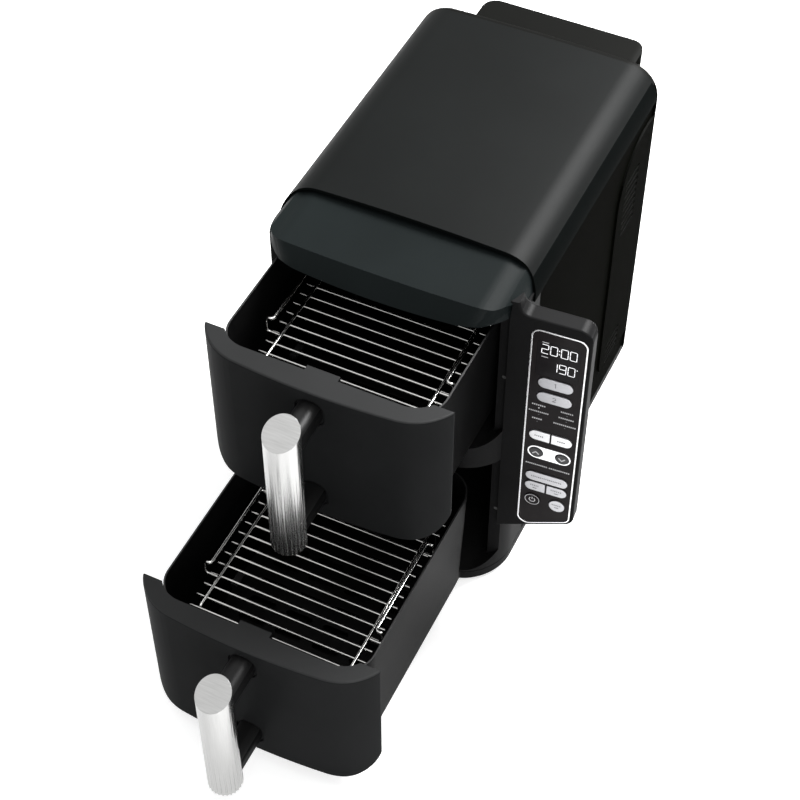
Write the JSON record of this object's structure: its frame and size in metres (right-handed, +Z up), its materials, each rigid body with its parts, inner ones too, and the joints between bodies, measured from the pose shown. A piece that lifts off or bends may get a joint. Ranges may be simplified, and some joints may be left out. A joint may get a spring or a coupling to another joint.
{
  "type": "air fryer",
  "caption": "Upright countertop air fryer: stacked pull-out drawers with bowed fronts and upright steel grips, wire racks inside, and a slim control wing on the right.",
  "frame": {"origin": "middle of the whole part's footprint at rest, on the surface it stands on", "axes": "+Z up, +X to the right of someone facing the drawers, -Y towards that person (drawers pull out along -Y)"},
  "size_m": [0.3049, 0.698, 0.385],
  "materials": {
    "housing": "satin charcoal",
    "visor": "satin charcoal, a shade lighter",
    "frame": "satin near black",
    "rubber": "matte",
    "switch": "matte",
    "screw": "plain",
    "circuit_board": "solder mask",
    "trim": "bright",
    "fascia": "gloss black",
    "dark_key": "gloss black",
    "silver_key": "metallic silver",
    "liner": "sheet steel",
    "heater": "oxidised sheath",
    "fan": "pressed",
    "motor": "dark",
    "drawer_front": "satin charcoal",
    "nonstick": "satin non-stick coating",
    "bracket": "satin black",
    "grip": "brushed",
    "bumper": "silicone",
    "rack": "bright"
  },
  "bodies": {
    "cabinet": {"top_cover": "housing", "visor": "visor", "left_side_panel": "housing", "right_side_panel": "housing", "rear_cover": "housing", "base_pan": "frame", "feet": "rubber", "front_frame": "frame", "drawer_switches": "switch", "case_screws": "screw", "cord_gland": "rubber", "power_board": "circuit_board", "wing_shell": "frame", "wing_back": "frame", "fascia_trim": "trim", "fascia": "fascia", "display_window": "fascia", "display_module": "fascia", "control_board": "circuit_board", "key_switches": "switch", "upper_liner": "liner", "upper_fan_guard": "liner", "upper_fan_drum": "liner", "upper_heater": "heater", "upper_motor": "motor", "lower_liner": "liner", "lower_fan_guard": "liner", "lower_fan_drum": "liner", "lower_heater": "heater", "lower_motor": "motor"},
    "zone_1_key": {"zone_1_key": "silver_key"},
    "zone_2_key": {"zone_2_key": "silver_key"},
    "temp_key": {"temp_key": "silver_key"},
    "time_key": {"time_key": "silver_key"},
    "up_key": {"up_key": "dark_key"},
    "down_key": {"down_key": "dark_key"},
    "both_zones_key": {"both_zones_key": "silver_key"},
    "sync_key": {"sync_key": "silver_key"},
    "match_key": {"match_key": "silver_key"},
    "power_key": {"power_key": "dark_key"},
    "start_key": {"start_key": "silver_key"},
    "upper_drawer": {"upper_drawer_front": "drawer_front", "upper_basket": "nonstick", "upper_handle_bracket": "bracket", "upper_handle_grip": "grip", "upper_handle_screws": "screw"},
    "upper_crisper": {"upper_crisper_plate": "nonstick", "upper_crisper_bumpers": "bumper"},
    "upper_rack": {"upper_wire_rack": "rack"},
    "upper_impeller": {"upper_fan": "fan"},
    "lower_drawer": {"lower_drawer_front": "drawer_front", "lower_basket": "nonstick", "lower_handle_bracket": "bracket", "lower_handle_grip": "grip", "lower_handle_screws": "screw"},
    "lower_crisper": {"lower_crisper_plate": "nonstick", "lower_crisper_bumpers": "bumper"},
    "lower_rack": {"lower_wire_rack": "rack"},
    "lower_impeller": {"lower_fan": "fan"}
  },
  "joints": [
    {"name": "zone_1_key_press", "type": "slide", "parent": "cabinet", "child": "zone_1_key", "axis": [-0.0802, 0.9968, 0], "range_m": [0, 0.001], "stiffness_N_per_m": 900},
    {"name": "zone_2_key_press", "type": "slide", "parent": "cabinet", "child": "zone_2_key", "axis": [-0.0802, 0.9968, 0], "range_m": [0, 0.001], "stiffness_N_per_m": 900},
    {"name": "temp_key_press", "type": "slide", "parent": "cabinet", "child": "temp_key", "axis": [-0.0802, 0.9968, 0], "range_m": [0, 0.001], "stiffness_N_per_m": 900},
    {"name": "time_key_press", "type": "slide", "parent": "cabinet", "child": "time_key", "axis": [-0.0802, 0.9968, 0], "range_m": [0, 0.001], "stiffness_N_per_m": 900},
    {"name": "up_key_press", "type": "slide", "parent": "cabinet", "child": "up_key", "axis": [-0.0802, 0.9968, 0], "range_m": [0, 0.001], "stiffness_N_per_m": 900},
    {"name": "down_key_press", "type": "slide", "parent": "cabinet", "child": "down_key", "axis": [-0.0802, 0.9968, 0], "range_m": [0, 0.001], "stiffness_N_per_m": 900},
    {"name": "both_zones_key_press", "type": "slide", "parent": "cabinet", "child": "both_zones_key", "axis": [-0.0802, 0.9968, 0], "range_m": [0, 0.001], "stiffness_N_per_m": 900},
    {"name": "sync_key_press", "type": "slide", "parent": "cabinet", "child": "sync_key", "axis": [-0.0802, 0.9968, 0], "range_m": [0, 0.001], "stiffness_N_per_m": 900},
    {"name": "match_key_press", "type": "slide", "parent": "cabinet", "child": "match_key", "axis": [-0.0802, 0.9968, 0], "range_m": [0, 0.001], "stiffness_N_per_m": 900},
    {"name": "power_key_press", "type": "slide", "parent": "cabinet", "child": "power_key", "axis": [-0.0802, 0.9968, 0], "range_m": [0, 0.001], "stiffness_N_per_m": 900},
    {"name": "start_key_press", "type": "slide", "parent": "cabinet", "child": "start_key", "axis": [-0.0802, 0.9968, 0], "range_m": [0, 0.001], "stiffness_N_per_m": 900},
    {"name": "upper_drawer_slide", "type": "slide", "parent": "cabinet", "child": "upper_drawer", "axis": [0, -1, 0], "range_m": [-0.112, 0.16]},
    {"name": "upper_crisper_lift", "type": "slide", "parent": "upper_drawer", "child": "upper_crisper", "axis": [0, 0, 1], "range_m": [0, 0.015]},
    {"name": "upper_rack_lift", "type": "slide", "parent": "upper_crisper", "child": "upper_rack", "axis": [0, 0, 1], "range_m": [0, 0.015]},
    {"name": "upper_fan_spin", "type": "hinge", "parent": "cabinet", "child": "upper_impeller", "pos_m": [-0.03084, 0.23191, 0.2795], "axis": [0, 1, 0], "continuous": true},
    {"name": "lower_drawer_slide", "type": "slide", "parent": "cabinet", "child": "lower_drawer", "axis": [0, -1, 0], "range_m": [-0.2475, 0.05]},
    {"name": "lower_crisper_lift", "type": "slide", "parent": "lower_drawer", "child": "lower_crisper", "axis": [0, 0, 1], "range_m": [0, 0.015]},
    {"name": "lower_rack_lift", "type": "slide", "parent": "lower_crisper", "child": "lower_rack", "axis": [0, 0, 1], "range_m": [0, 0.015]},
    {"name": "lower_fan_spin", "type": "hinge", "parent": "cabinet", "child": "lower_impeller", "pos_m": [-0.03084, 0.23191, 0.0955], "axis": [0, 1, 0], "continuous": true}
  ]
}
